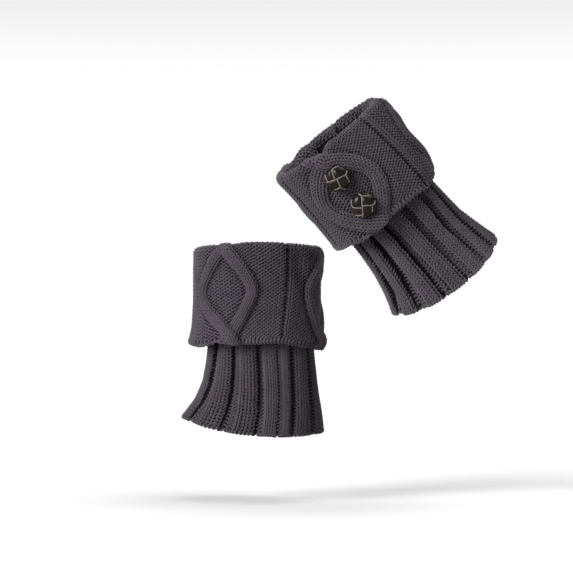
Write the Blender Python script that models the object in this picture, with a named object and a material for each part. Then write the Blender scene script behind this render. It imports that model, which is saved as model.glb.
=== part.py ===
"""A pair of chunky cable-knit leg warmers, standing open as they do on the legs.

Each leg warmer is a ribbed tube that flares over the foot and a cable-knit cuff turned
down over its top, with two domed shank buttons sewn inside one diamond of the cables.
Lengths are in metres, +Z is up and the wearer faces -X. The origin lies on the right
leg's axis, level with the lower edge of the right cuff.

Every leg warmer is drawn upright in a frame of its own. "Turn" is the angle round the leg
in degrees, from 0 at the -Y side through 90 at the heel to 180 at the +Y side. "Round" is
the fraction of the way round the knitting, measured along the cloth from the -Y side.
"""
from collections import namedtuple
from math import cos, pi, radians, sin

import bpy
import numpy as np
from mathutils import Matrix, Vector

MM = 0.001

# The knitting
WALL = 3.2 * MM               # thickness of one layer of the knit
SEAM_GAP = 0.3 * MM           # between pieces that touch
OVAL_POWER = 2.25             # 2 is an ellipse, more has fuller corners
OVAL_STEPS = 720              # steps used to measure the length round an oval

# The ribs: a raised crest, a steep drop into a crease beside it and a slow climb to the next crest
RIB_COUNT = 14
RIB_COLUMNS = (               # place across the rib from its middle, and how deep it sinks
    (-0.27, 0.10), (0.0, 0.0), (0.27, 0.10), (0.41, 1.0), (0.49, 1.0),
)
RIB_DRIFT = 0.021             # how far ribs slide round the flaring hem, as a part of the way round
DRIFT_TURN = radians(-15.0)   # where they slide furthest towards the heel, and again opposite

# The cuff
CUFF_COLUMNS = 48
DIAMOND_COUNT = 3
FOLD_RADIUS = 5.6 * MM        # outside of the roll over the top
FOLD_STEPS = 5
CUFF_RETURN = 6.0 * MM        # how far the cuff reaches down inside the leg warmer
CROSSING_REACH = 9.0 * MM     # how far a cable crossing draws the rim down, to each side

# The buttons
BUTTON_RADIUS = 10.2 * MM
BUTTON_RIM = 1.6 * MM         # straight edge under the dome
BUTTON_DOME = 5.4 * MM
BUTTON_STANDOFF = 2.4 * MM    # from the cloth to the flat back
SHANK_RADIUS = 2.8 * MM
BUTTON_SIDES = 20
DOME_STEPS = 4

Ring = namedtuple("Ring", "level half_width half_depth shift valley", defaults=(0.0,))
Around = namedtuple("Around", "front side back")
Edge = namedtuple("Edge", "turn lift")
LegWarmer = namedtuple(
    "LegWarmer",
    "name tube cuff rim hem edge crossing_dip rib_widths first_valley diamond buttons button_heights "
    "button_shifts")

# Sizes in millimetres. A tube's level runs from 1 at its top, through 0 at the cuff's lower
# edge, to -1 at the hem; its widths are over the raised ribs, and valley is the depth between
# them. A cuff's level runs from 0 at its lower edge to 1 where it starts to roll over the top.
# Rib widths are relative, first_valley and diamond are turns in degrees, and buttons says
# which diamond holds them, counted from the one named. Their shifts are round the cuff.
RIGHT = LegWarmer(
    name="right",
    tube=(
        Ring(level=1.00, half_width=45.2, half_depth=34.6, shift=0.2, valley=0.8),
        Ring(level=0.50, half_width=45.0, half_depth=35.4, shift=2.0, valley=2.4),
        Ring(level=0.00, half_width=44.9, half_depth=36.6, shift=3.0, valley=6.0),
        Ring(level=-0.25, half_width=46.9, half_depth=38.2, shift=3.1, valley=5.8),
        Ring(level=-0.50, half_width=49.5, half_depth=40.6, shift=2.6, valley=5.6),
        Ring(level=-0.75, half_width=54.2, half_depth=43.6, shift=0.8, valley=5.2),
        Ring(level=-0.90, half_width=58.0, half_depth=45.8, shift=-1.8, valley=4.8),
        Ring(level=-1.00, half_width=60.5, half_depth=47.5, shift=-4.0, valley=4.4),
    ),
    cuff=(
        Ring(level=0.00, half_width=55.6, half_depth=46.0, shift=-2.2),
        Ring(level=0.07, half_width=57.0, half_depth=46.8, shift=-0.4),
        Ring(level=0.13, half_width=55.4, half_depth=45.6, shift=-0.7),
        Ring(level=0.22, half_width=54.5, half_depth=44.9, shift=-0.5),
        Ring(level=0.50, half_width=53.9, half_depth=43.8, shift=0.0),
        Ring(level=0.80, half_width=53.9, half_depth=43.0, shift=0.0),
        Ring(level=1.00, half_width=53.6, half_depth=42.4, shift=0.0),
    ),
    rim=Around(front=82.2, side=86.0, back=83.0),
    hem=Around(front=60.0, side=73.0, back=72.4),
    edge=(
        Edge(-90, 0.7), Edge(-50, -1.8), Edge(-28, 3.0), Edge(-10, 0.8), Edge(20, 2.2),
        Edge(45, -1.5), Edge(70, -2.4), Edge(110, 0.0), Edge(150, -1.0), Edge(200, 1.5),
        Edge(235, -0.5),
    ),
    crossing_dip=1.5,
    rib_widths=(1.10, 1.14, 0.91, 0.60, 1.08, 1.06, 0.96, 1.04, 0.98, 1.06, 1.00, 1.04, 0.97, 1.08),
    first_valley=-58.6,
    diamond=-27.0,
    buttons=-1,
    button_heights=(27.0, 58.0),
    button_shifts=(0.0, 0.0),
)
LEFT = LegWarmer(
    name="left",
    tube=(
        Ring(level=1.00, half_width=45.0, half_depth=36.3, shift=-3.0, valley=0.8),
        Ring(level=0.50, half_width=43.1, half_depth=38.4, shift=-0.8, valley=2.4),
        Ring(level=0.00, half_width=41.7, half_depth=40.0, shift=1.3, valley=6.0),
        Ring(level=-0.25, half_width=42.6, half_depth=41.0, shift=2.2, valley=5.8),
        Ring(level=-0.50, half_width=44.2, half_depth=43.0, shift=2.5, valley=5.6),
        Ring(level=-0.75, half_width=48.0, half_depth=46.0, shift=3.2, valley=5.2),
        Ring(level=-0.90, half_width=50.9, half_depth=48.3, shift=3.3, valley=4.8),
        Ring(level=-1.00, half_width=53.0, half_depth=50.0, shift=3.2, valley=4.4),
    ),
    cuff=(
        Ring(level=0.00, half_width=49.9, half_depth=49.6, shift=-3.1),
        Ring(level=0.07, half_width=50.9, half_depth=49.6, shift=-2.1),
        Ring(level=0.20, half_width=52.1, half_depth=49.0, shift=-1.1),
        Ring(level=0.50, half_width=53.2, half_depth=47.6, shift=-0.4),
        Ring(level=0.80, half_width=53.4, half_depth=46.0, shift=-1.4),
        Ring(level=1.00, half_width=53.2, half_depth=44.6, shift=-3.0),
    ),
    rim=Around(front=78.5, side=79.0, back=79.5),
    hem=Around(front=68.0, side=75.0, back=70.0),
    edge=(
        Edge(-90, 1.0), Edge(-51, 2.4), Edge(-30, -0.5), Edge(-10, 2.2), Edge(10, 3.0),
        Edge(34, 2.1), Edge(48, -0.6), Edge(66, 1.5), Edge(95, 0.0), Edge(140, 1.0),
        Edge(190, -1.2), Edge(230, 1.0),
    ),
    crossing_dip=4.0,
    rib_widths=(0.90, 0.91, 1.12, 1.08, 0.93, 1.02, 1.04, 0.96, 1.02, 1.06, 0.94, 1.04, 1.00, 0.98),
    first_valley=-66.0,
    diamond=-16.0,
    buttons=0,
    button_heights=(24.5, 52.8),
    button_shifts=(3.5, 1.0),
)

# Where the left leg stands: its own origin, how far its top tips towards -X, then towards -Y
LEFT_PLACE = Vector((106.0, -85.0, 109.1)) * MM
LEFT_TIP = radians(-38.6)
LEFT_LEAN = radians(9.5)


# ---- measuring round the cloth -------------------------------------------------------

def oval(half_width, half_depth, shift, rounds):
    """Points x, y and turns in radians at the given fractions of the way round an oval."""
    turns = np.linspace(0.0, 2.0 * pi, OVAL_STEPS + 1)
    x = half_width * np.sign(np.sin(turns)) * np.abs(np.sin(turns)) ** (2.0 / OVAL_POWER)
    y = -half_depth * np.sign(np.cos(turns)) * np.abs(np.cos(turns)) ** (2.0 / OVAL_POWER)
    length = np.concatenate(([0.0], np.cumsum(np.hypot(np.diff(x), np.diff(y)))))
    wanted = (np.asarray(rounds) % 1.0) * length[-1]
    return (np.interp(wanted, length, x) + shift,
            np.interp(wanted, length, y),
            np.interp(wanted, length, turns))


def perimeter(ring):
    """The length round a ring, in the ring's own unit."""
    x, y, _ = oval(ring.half_width, ring.half_depth, 0.0, np.linspace(0.0, 1.0, OVAL_STEPS + 1)[:-1])
    return float(np.sum(np.hypot(x - np.roll(x, 1), y - np.roll(y, 1))))


def round_of(ring, turn):
    """The fraction of the way round a ring at a turn in degrees."""
    rounds = np.linspace(-0.5, 0.5, OVAL_STEPS + 1)
    turns = oval(ring.half_width, ring.half_depth, 0.0, rounds)[2]
    signed = np.where(rounds < 0.0, turns - 2.0 * pi, turns)
    return float(np.interp(radians(turn), signed, rounds))


def around(level, turns):
    """A height that differs at the front, the two sides and the back, in smooth waves."""
    ends = 0.5 * (level.front + level.back)
    return (0.5 * (level.side + ends) + 0.5 * (level.back - level.front) * np.sin(turns)
            + 0.5 * (level.side - ends) * np.cos(2.0 * turns))


def diamond_rounds(leg):
    """How far round the cuff each diamond's middle lies."""
    first = round_of(leg.cuff[-1], leg.diamond)
    return [first + index / DIAMOND_COUNT for index in range(DIAMOND_COUNT)]


def rim_height(leg, rounds, turns):
    """Height of the rolled top, drawn down a little where the cables cross."""
    height = around(leg.rim, turns)
    reach = CROSSING_REACH / MM / perimeter(leg.cuff[-1])
    for middle in diamond_rounds(leg):
        away = (np.asarray(rounds) - middle + 0.5) % 1.0 - 0.5
        height = height - leg.crossing_dip * np.exp(-(away / reach) ** 2)
    return height * MM


def seam_height(leg):
    """Height where the tube's top meets the part of the cuff that reaches down inside."""
    return (leg.rim.side - leg.crossing_dip) * MM - FOLD_RADIUS - CUFF_RETURN


def edge_lift(leg, turns):
    """How far the cuff's wavy lower edge lies above its own level."""
    degrees = [edge.turn for edge in leg.edge]
    lifts = [edge.lift for edge in leg.edge]
    wanted = (np.degrees(turns) + 90.0) % 360.0 - 90.0
    return np.interp(wanted, degrees, lifts, period=360.0) * MM


# ---- the ribbed tube -----------------------------------------------------------------

def rib_rounds(leg):
    """How far round each column of the ribs lies, and how deep it sinks, from 0 to 1."""
    widths = np.array(leg.rib_widths) / sum(leg.rib_widths)
    starts = round_of(leg.tube[2], leg.first_valley) + np.concatenate(([0.0], np.cumsum(widths)))
    rounds = []
    sinks = []
    for rib in range(RIB_COUNT):
        for place, sink in RIB_COLUMNS:
            rounds.append(starts[rib] + (0.5 + place) * widths[rib])
            sinks.append(sink)
    return np.array(rounds), np.array(sinks)


def tube_ring(leg, ring, inward):
    """One ring of points round the ribs, moved inward from the cloth's outer face."""
    rounds, sinks = rib_rounds(leg)
    drift = RIB_DRIFT * np.cos(2.0 * (2.0 * pi * rounds - DRIFT_TURN))
    rounds = rounds + max(-ring.level, 0.0) * drift
    crest = oval(ring.half_width * MM - inward, ring.half_depth * MM - inward, ring.shift * MM, rounds)
    depth = inward + ring.valley * MM
    trough = oval(ring.half_width * MM - depth, ring.half_depth * MM - depth, ring.shift * MM, rounds)
    x = crest[0] + (trough[0] - crest[0]) * sinks
    y = crest[1] + (trough[1] - crest[1]) * sinks
    if ring.level > 0.0:
        z = np.full(len(x), ring.level * (seam_height(leg) - SEAM_GAP))
    else:
        z = ring.level * around(leg.hem, crest[2]) * MM
    return np.column_stack((x, y, z))


def ribbed_tube(leg, material, parent):
    """The ribbed tube, from under the cuff's roll down to the flared hem."""
    outside = [tube_ring(leg, ring, 0.0) for ring in leg.tube]
    inside = [tube_ring(leg, ring, WALL) for ring in reversed(leg.tube)]
    return hollow_solid(leg.name + "_ribbed_tube", outside + inside, material, parent)


# ---- the turned-down cuff ------------------------------------------------------------

def cuff_ring(leg, ring, inward, rise):
    """One ring round the cuff; rise is added above the height that the ring's level gives."""
    rounds = np.arange(CUFF_COLUMNS) / CUFF_COLUMNS + round_of(leg.cuff[-1], leg.diamond)
    x, y, turns = oval(ring.half_width * MM - inward, ring.half_depth * MM - inward,
                       ring.shift * MM, rounds)
    low = edge_lift(leg, turns)
    high = rim_height(leg, rounds, turns) - FOLD_RADIUS
    return np.column_stack((x, y, low + (high - low) * ring.level + rise))


def return_ring(leg, inward):
    """The level ring where the cuff ends inside the leg warmer."""
    ring = cuff_ring(leg, leg.cuff[-1], inward, 0.0)
    ring[:, 2] = seam_height(leg)
    return ring


def cuff_face(leg, depth, radius):
    """The rings of one face of the cuff: up its outside, over the roll and down inside."""
    top = leg.cuff[-1]
    rings = [cuff_ring(leg, ring, depth, 0.0) for ring in leg.cuff]
    for step in range(1, FOLD_STEPS + 1):
        bend = pi * step / FOLD_STEPS
        rings.append(cuff_ring(leg, top, FOLD_RADIUS - radius * cos(bend), radius * sin(bend)))
    rings.append(return_ring(leg, FOLD_RADIUS + radius))
    return rings


def cable_cuff(leg, material, parent):
    """The cuff: an outer layer hanging from a roll over the tube's top."""
    face = cuff_face(leg, 0.0, FOLD_RADIUS)
    back = cuff_face(leg, WALL, FOLD_RADIUS - WALL)
    return hollow_solid(leg.name + "_cable_cuff", back + face[::-1], material, parent)


# ---- the buttons ---------------------------------------------------------------------

def cuff_point(leg, away, height):
    """A point on the cuff's outer face, at a fraction of the way round and a height in mm."""
    level = height * MM / (leg.rim.side * MM - FOLD_RADIUS)
    levels = [ring.level for ring in leg.cuff]
    half_width = np.interp(level, levels, [ring.half_width for ring in leg.cuff]) * MM
    half_depth = np.interp(level, levels, [ring.half_depth for ring in leg.cuff]) * MM
    shift = np.interp(level, levels, [ring.shift for ring in leg.cuff]) * MM
    x, y, _ = oval(half_width, half_depth, shift, [away])
    return Vector((x[0], y[0], height * MM))


def cuff_outward(leg, away, height):
    """The way straight out of the cuff's outer face there."""
    across = cuff_point(leg, away + 0.01, height) - cuff_point(leg, away - 0.01, height)
    upward = cuff_point(leg, away, height + 2.0) - cuff_point(leg, away, height - 2.0)
    return across.cross(upward).normalized()


def button_profile():
    """Radius and height of the button's outline, from the shank's foot to the dome's top."""
    outline = [(SHANK_RADIUS, SEAM_GAP), (SHANK_RADIUS, BUTTON_STANDOFF), (BUTTON_RADIUS, BUTTON_STANDOFF)]
    shoulder = BUTTON_STANDOFF + BUTTON_RIM
    for step in range(DOME_STEPS):
        bend = 0.5 * pi * step / DOME_STEPS
        outline.append((BUTTON_RADIUS * cos(bend), shoulder + BUTTON_DOME * sin(bend)))
    return outline, shoulder + BUTTON_DOME


def button_mesh(name):
    """A domed button turned about its own Z, with a short shank under it."""
    outline, top = button_profile()
    points = []
    for radius, height in outline:
        for side in range(BUTTON_SIDES):
            turn = 2.0 * pi * side / BUTTON_SIDES
            points.append((radius * cos(turn), radius * sin(turn), height))
    faces = [tuple(reversed(range(BUTTON_SIDES)))]
    for row in range(len(outline) - 1):
        low = row * BUTTON_SIDES
        for side in range(BUTTON_SIDES):
            after = (side + 1) % BUTTON_SIDES
            faces.append((low + side, low + after, low + BUTTON_SIDES + after, low + BUTTON_SIDES + side))
    peak = len(points)
    points.append((0.0, 0.0, top))
    low = peak - BUTTON_SIDES
    for side in range(BUTTON_SIDES):
        faces.append((low + side, low + (side + 1) % BUTTON_SIDES, peak))
    mesh = bpy.data.meshes.new(name)
    mesh.from_pydata(points, [], faces)
    mesh.shade_smooth()
    mesh.set_sharp_from_angle(angle=radians(40.0))
    return mesh


def sew_buttons(leg, material, parent):
    """The two buttons, one above the other in the diamond on the outer side of the leg."""
    middle = diamond_rounds(leg)[leg.buttons]
    length = perimeter(leg.cuff[-1])
    for place, height, shift in zip(("lower", "upper"), leg.button_heights, leg.button_shifts):
        away = middle + shift / length
        button = add_object(leg.name + "_" + place + "_button", button_mesh(leg.name + place),
                            material, parent)
        button.location = cuff_point(leg, away, height)
        button.rotation_euler = cuff_outward(leg, away, height).to_track_quat("Z", "Y").to_euler()


# ---- building ------------------------------------------------------------------------

def add_object(name, mesh, material, parent):
    """An object in the scene, with its material, carried by its leg's empty."""
    mesh.materials.append(material)
    thing = bpy.data.objects.new(name, mesh)
    thing.parent = parent
    bpy.context.scene.collection.objects.link(thing)
    return thing


def hollow_solid(name, rings, material, parent):
    """A closed sleeve: each ring is joined to the next, and the last to the first."""
    columns = len(rings[0])
    points = np.concatenate(rings)
    faces = []
    for row in range(len(rings)):
        here = row * columns
        there = (row + 1) % len(rings) * columns
        for column in range(columns):
            after = (column + 1) % columns
            faces.append((there + column, there + after, here + after, here + column))
    mesh = bpy.data.meshes.new(name)
    mesh.from_pydata(points.tolist(), [], faces)
    mesh.shade_smooth()
    return add_object(name, mesh, material, parent)


def principled(name, colour, roughness):
    """A plain material with one colour."""
    material = bpy.data.materials.new(name)
    material.use_nodes = True
    shader = material.node_tree.nodes["Principled BSDF"]
    shader.inputs["Base Color"].default_value = (*colour, 1.0)
    shader.inputs["Roughness"].default_value = roughness
    shader.inputs["Metallic"].default_value = 0.0
    return material


def leg_empty(name, place, tip, lean):
    """The empty that carries one leg warmer to its place."""
    empty = bpy.data.objects.new(name, None)
    turn = Matrix.Rotation(tip, 4, "Y") @ Matrix.Rotation(lean, 4, "X")
    empty.matrix_world = Matrix.Translation(place) @ turn
    bpy.context.scene.collection.objects.link(empty)
    return empty


def main():
    for thing in list(bpy.data.objects):
        bpy.data.objects.remove(thing)
    ribs = principled("charcoal ribbed knit", (0.075, 0.070, 0.080), 0.92)
    cables = principled("charcoal cable knit", (0.085, 0.080, 0.090), 0.92)
    leather = principled("dark brown woven leather", (0.022, 0.017, 0.014), 0.35)
    right = leg_empty("right_leg", Vector((0.0, 0.0, 0.0)), 0.0, 0.0)
    left = leg_empty("left_leg", LEFT_PLACE, LEFT_TIP, LEFT_LEAN)
    for leg, empty in ((RIGHT, right), (LEFT, left)):
        ribbed_tube(leg, ribs, empty)
        cable_cuff(leg, cables, empty)
        sew_buttons(leg, leather, empty)


main()
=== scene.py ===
"""Looks of a pair of chunky cable-knit leg warmers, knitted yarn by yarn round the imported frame.

Each leg warmer is drawn in a frame of its own, in metres: +Z up the leg and the wearer facing
-X. "Turn" is the angle round the leg in degrees, 0 at the -Y side and 90 at the heel. "Round"
is the fraction of the way round the knitting. "Wale" counts the knitted columns round it and
"course" the knitted rows up it. The middle of the knit's thickness is where the yarn runs.
"""
from collections import namedtuple
from math import cos, pi, radians, sin

import bpy
import numpy as np
from mathutils import Matrix, Vector


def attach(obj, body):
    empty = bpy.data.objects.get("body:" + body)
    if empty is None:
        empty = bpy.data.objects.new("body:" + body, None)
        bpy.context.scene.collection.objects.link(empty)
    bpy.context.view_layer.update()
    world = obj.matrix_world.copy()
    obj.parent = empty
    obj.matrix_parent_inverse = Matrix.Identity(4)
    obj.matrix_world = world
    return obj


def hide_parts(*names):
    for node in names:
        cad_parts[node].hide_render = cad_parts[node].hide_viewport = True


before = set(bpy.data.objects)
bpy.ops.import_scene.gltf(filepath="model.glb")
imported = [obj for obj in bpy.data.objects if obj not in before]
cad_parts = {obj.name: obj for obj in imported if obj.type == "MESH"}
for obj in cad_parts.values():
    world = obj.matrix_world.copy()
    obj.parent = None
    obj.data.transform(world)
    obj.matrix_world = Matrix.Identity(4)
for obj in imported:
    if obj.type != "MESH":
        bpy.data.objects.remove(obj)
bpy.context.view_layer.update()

MM = 0.001
BODY = "root"

# ---- the garment's sizes, as in its construction -------------------------------------------

WALL = 3.2 * MM           # thickness of one layer of the knit
SEAM_GAP = 0.3 * MM
OVAL_POWER = 2.25         # 2 is an ellipse, more has fuller corners
OVAL_STEPS = 720
RIB_DRIFT = 0.021         # how far ribs slide round the flaring hem, as a part of the way round
DRIFT_TURN = radians(-15.0)
DIAMOND_COUNT = 3
FOLD_RADIUS = 5.6 * MM    # outside of the roll over the top
CUFF_RETURN = 6.0 * MM    # how far the cuff reaches down inside the leg warmer
CROSSING_REACH = 9.0 * MM
BUTTON_RADIUS = 10.2 * MM
BUTTON_RIM = 1.6 * MM
BUTTON_DOME = 5.4 * MM
BUTTON_STANDOFF = 2.4 * MM
SHANK_RADIUS = 2.8 * MM

Ring = namedtuple("Ring", "level half_width half_depth shift valley", defaults=(0.0,))
Around = namedtuple("Around", "front side back")
Edge = namedtuple("Edge", "turn lift")
Diamond = namedtuple("Diamond", "low high reach rounding width")
Crease = namedtuple("Crease", "turn height length width depth slant")
Pull = namedtuple("Pull", "away low high spread")
RibForm = namedtuple("RibForm", "crest_start crest_end ledge_end knit purl")
Button = namedtuple("Button", "name height shift roll")
LegWarmer = namedtuple(
    "LegWarmer",
    "name place tube cuff rim hem edge crossing_dip rib_widths first_valley diamond "
    "buttoned_diamond buttons cable cuff_courses rib_courses inner_courses rib_form "
    "shallow_valleys ledges pulls cuff_creases tube_creases")


def table(kind, *rows):
    """Rows with the named columns of their kind."""
    return tuple(kind(*row) for row in rows)


def standing(place, tip, lean):
    """From a leg's own frame to the pair's, with its place in mm and its tilts in degrees."""
    return (Matrix.Translation(Vector(place) * MM) @ Matrix.Rotation(radians(tip), 4, "Y")
            @ Matrix.Rotation(radians(lean), 4, "X"))


# In millimetres and degrees. Level 0 is the cuff's lower edge. The cuff's level 1 is its rim; the
# tube's is the seam inside, and its -1 is the hem. The first valley between ribs and the middle
# of the first diamond are at those turns. A diamond runs from its low crossing to its high one,
# reaches that far to each side of its middle line, and its strands have that width. The rim dips
# so far at a crossing. A button is shifted round the leg, and rolled, so far. A rib's form is in
# parts of its width: where its crest starts and ends, where the ledge past the crease ends, and
# where its knitted and its purled wales run. Each ledge keeps that part of its crease's depth. A
# crease of the cuff or the tube is a soft trough, or a ridge where its depth is below 0. A pull
# drags the cuff's knit round the leg, most at that part of the way round from the first diamond:
# so far at its lower edge and so far at its rim.
RIGHT = LegWarmer(
    name="right",
    place=standing((0.0, 0.0, 0.0), tip=0.0, lean=0.0),
    tube=table(
        Ring,
        (1.00, 45.2, 34.6, 0.2, 0.8),
        (0.50, 45.0, 35.4, 2.0, 2.4),
        (0.00, 44.9, 36.6, 3.0, 6.0),
        (-0.25, 46.9, 38.2, 3.1, 5.8),
        (-0.50, 49.5, 40.6, 2.6, 5.6),
        (-0.75, 54.2, 43.6, 0.8, 5.2),
        (-0.90, 58.0, 45.8, -1.8, 4.8),
        (-1.00, 60.5, 47.5, -4.0, 4.4),
    ),
    cuff=table(
        Ring,
        (0.00, 55.6, 46.0, -2.2),
        (0.07, 57.0, 46.8, -0.4),
        (0.13, 55.4, 45.6, -0.7),
        (0.22, 54.5, 44.9, -0.5),
        (0.50, 53.9, 43.8, 0.0),
        (0.80, 53.9, 43.0, 0.0),
        (1.00, 53.6, 42.4, 0.0),
    ),
    rim=Around(front=82.2, side=86.0, back=83.0),
    hem=Around(front=60.0, side=73.0, back=72.4),
    edge=table(
        Edge,
        (-90, 0.7), (-50, -1.8), (-28, 3.0), (-10, 0.8), (20, 2.2),
        (45, -1.5), (70, -2.4), (110, 0.0), (150, -1.0), (200, 1.5),
        (235, -0.5),
    ),
    crossing_dip=1.5,
    rib_widths=(1.10, 1.14, 0.91, 0.60, 1.08, 1.06, 0.96, 1.04, 0.98, 1.06, 1.00, 1.04, 0.97, 1.08),
    first_valley=-58.6,
    diamond=-27.0,
    buttoned_diamond=-1,
    buttons=table(Button, ("lower", 27.0, 0.0, 24.0), ("upper", 58.0, 0.0, 81.0)),
    cable=Diamond(low=7.0, high=84.0, reach=23.3, rounding=0.22, width=9.8),
    cuff_courses=28,
    rib_courses=26,
    inner_courses=25,
    rib_form=RibForm(crest_start=0.26, crest_end=0.87, ledge_end=1.15, knit=(0.32, 0.56, 0.79),
                     purl=(1.02, 1.15)),
    shallow_valleys=(3,),
    ledges=(0.35, 0.35, 0.5, 0.25, 0.65, 0.8, 0.8, 0.5, 0.4, 0.5, 0.6, 0.4, 0.35, 0.5),
    pulls=table(
        Pull,
        (-0.152, 5.0, 5.0, 0.05),
        (0.0, 8.3, -1.2, 0.09),
        (0.21, -4.3, 1.2, 0.09),
        (0.333, -15.0, -3.0, 0.14),
    ),
    cuff_creases=table(
        Crease,
        (40, 66, 20, 9.0, 3.2, -0.35),
        (33, 30, 20, 9.0, -0.9, 0.1),
        (-70, 30, 22, 7.0, 0.9, 0.15),
        (118, 52, 24, 9.0, 1.5, 0.2),
        (150, 26, 18, 8.0, -1.0, -0.25),
        (196, 60, 15, 7.0, 1.2, -0.3),
        (238, 24, 20, 8.0, 1.1, 0.2),
    ),
    tube_creases=table(
        Crease,
        (-75, -40, 12, 9.0, 0.9, 0.0),
        (25, -58, 9, 14.0, 0.8, 0.0),
        (140, -36, 12, 12.0, 1.0, 0.0),
        (215, -54, 10, 10.0, 0.8, 0.0),
    ),
)
LEFT = LegWarmer(
    name="left",
    place=standing((106.0, -85.0, 109.1), tip=-38.6, lean=9.5),
    tube=table(
        Ring,
        (1.00, 45.0, 36.3, -3.0, 0.8),
        (0.50, 43.1, 38.4, -0.8, 2.4),
        (0.00, 41.7, 40.0, 1.3, 6.0),
        (-0.25, 42.6, 41.0, 2.2, 5.8),
        (-0.50, 44.2, 43.0, 2.5, 5.6),
        (-0.75, 48.0, 46.0, 3.2, 5.2),
        (-0.90, 50.9, 48.3, 3.3, 4.8),
        (-1.00, 53.0, 50.0, 3.2, 4.4),
    ),
    cuff=table(
        Ring,
        (0.00, 49.9, 49.6, -3.1),
        (0.07, 50.9, 49.6, -2.1),
        (0.20, 52.1, 49.0, -1.1),
        (0.50, 53.2, 47.6, -0.4),
        (0.80, 53.4, 46.0, -1.4),
        (1.00, 53.2, 44.6, -3.0),
    ),
    rim=Around(front=78.5, side=79.0, back=79.5),
    hem=Around(front=68.0, side=75.0, back=70.0),
    edge=table(
        Edge,
        (-90, 1.0), (-51, 2.4), (-30, -0.5), (-10, 2.2), (10, 3.0),
        (34, 2.1), (48, -0.6), (66, 1.5), (95, 0.0), (140, 1.0),
        (190, -1.2), (230, 1.0),
    ),
    crossing_dip=4.0,
    rib_widths=(0.90, 0.91, 1.12, 1.08, 0.93, 1.02, 1.04, 0.96, 1.02, 1.06, 0.94, 1.04, 1.00, 0.98),
    first_valley=-66.0,
    diamond=-16.0,
    buttoned_diamond=0,
    buttons=table(Button, ("lower", 24.5, 3.5, -38.6), ("upper", 52.8, 1.0, -108.6)),
    cable=Diamond(low=3.0, high=72.0, reach=25.0, rounding=0.7, width=13.6),
    cuff_courses=26,
    rib_courses=26,
    inner_courses=24,
    rib_form=RibForm(crest_start=0.22, crest_end=0.77, ledge_end=1.12, knit=(0.28, 0.485, 0.69),
                     purl=(0.95, 1.12)),
    shallow_valleys=(),
    ledges=(0.80, 0.75, 0.85, 0.85, 0.85, 0.80, 0.75, 0.70, 0.80, 0.70, 0.75, 0.70, 0.80, 0.75),
    pulls=table(
        Pull,
        (-0.152, 5.0, 5.0, 0.05),
        (0.0, 6.5, 0.0, 0.09),
        (0.182, -0.5, -5.0, 0.09),
        (0.333, 10.0, -9.0, 0.14),
    ),
    cuff_creases=table(
        Crease,
        (75, 48, 18, 7.0, 1.4, 0.1),
        (-66, 40, 20, 8.0, 1.0, -0.1),
        (28, 20, 14, 9.0, 0.9, 0.4),
        (125, 50, 22, 8.0, 1.3, -0.2),
        (172, 28, 18, 9.0, -0.9, 0.2),
        (222, 52, 20, 8.0, 1.2, 0.25),
    ),
    tube_creases=table(
        Crease,
        (-60, -52, 10, 10.0, 0.8, 0.0),
        (40, -30, 12, 9.0, 0.9, 0.0),
        (150, -50, 11, 12.0, 1.0, 0.0),
    ),
)

# The knitting, in wales, courses and metres
CUFF_WALES = 66
REPEAT_WALES = CUFF_WALES // DIAMOND_COUNT
LINE_WALE = 12            # the plain knitted wale in each gap, from a diamond's middle
COURSE = 2.9 * MM
YARN = 0.80 * MM          # radius of the yarn
RIB_YARN = 0.82 * MM

# How far a loop bows out of the knit's middle each way in mm, how far its neck pinches in, in wales,
# and how sharply it turns from its head and foot into its legs
Loop = namedtuple("Loop", "depth lean bend")
PURL = Loop(depth=0.50, lean=0.14, bend=2.5)
KNIT = Loop(depth=0.45, lean=0.33, bend=0.3)
CABLE_KNIT = Loop(depth=0.45, lean=0.27, bend=0.3)
RIB_KNIT = Loop(depth=0.70, lean=0.33, bend=0.3)
LOOP_RISE = 0.76          # half of a loop's height
LOOSENESS = np.array((0.035, 0.045, 0.05 * MM))  # of a loop across, up and outward
ROLL_COURSES = 4
RETURN_COURSES = 2
RIB_COUNT = 14

rng = np.random.default_rng(20)


# ---- materials -----------------------------------------------------------------------------

class Wire:
    """An output in a material's nodes. Sums with wires and numbers add Math nodes."""

    def __init__(self, finish, socket):
        self.finish = finish
        self.socket = socket

    def maths(self, operation, *values):
        return self.finish.node("ShaderNodeMath", {"operation": operation}, dict(enumerate(values)))

    def beside(self, output):
        """Another output of the same node."""
        return Wire(self.finish, self.socket.node.outputs[output])

    def __add__(self, other):
        return self.maths("ADD", self, other)

    __radd__ = __add__

    def __sub__(self, other):
        return self.maths("SUBTRACT", self, other)

    def __rsub__(self, other):
        return self.maths("SUBTRACT", other, self)

    def __mul__(self, other):
        return self.maths("MULTIPLY", self, other)

    __rmul__ = __mul__

    def sine(self):
        return self.maths("SINE", self)

    def between(self, low, high):
        """0 below low, 1 above high and a smooth step from one to the other."""
        return self.finish.node("ShaderNodeMapRange", {"interpolation_type": "SMOOTHSTEP"},
                                {"Value": self, "From Min": low, "From Max": high})


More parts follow.
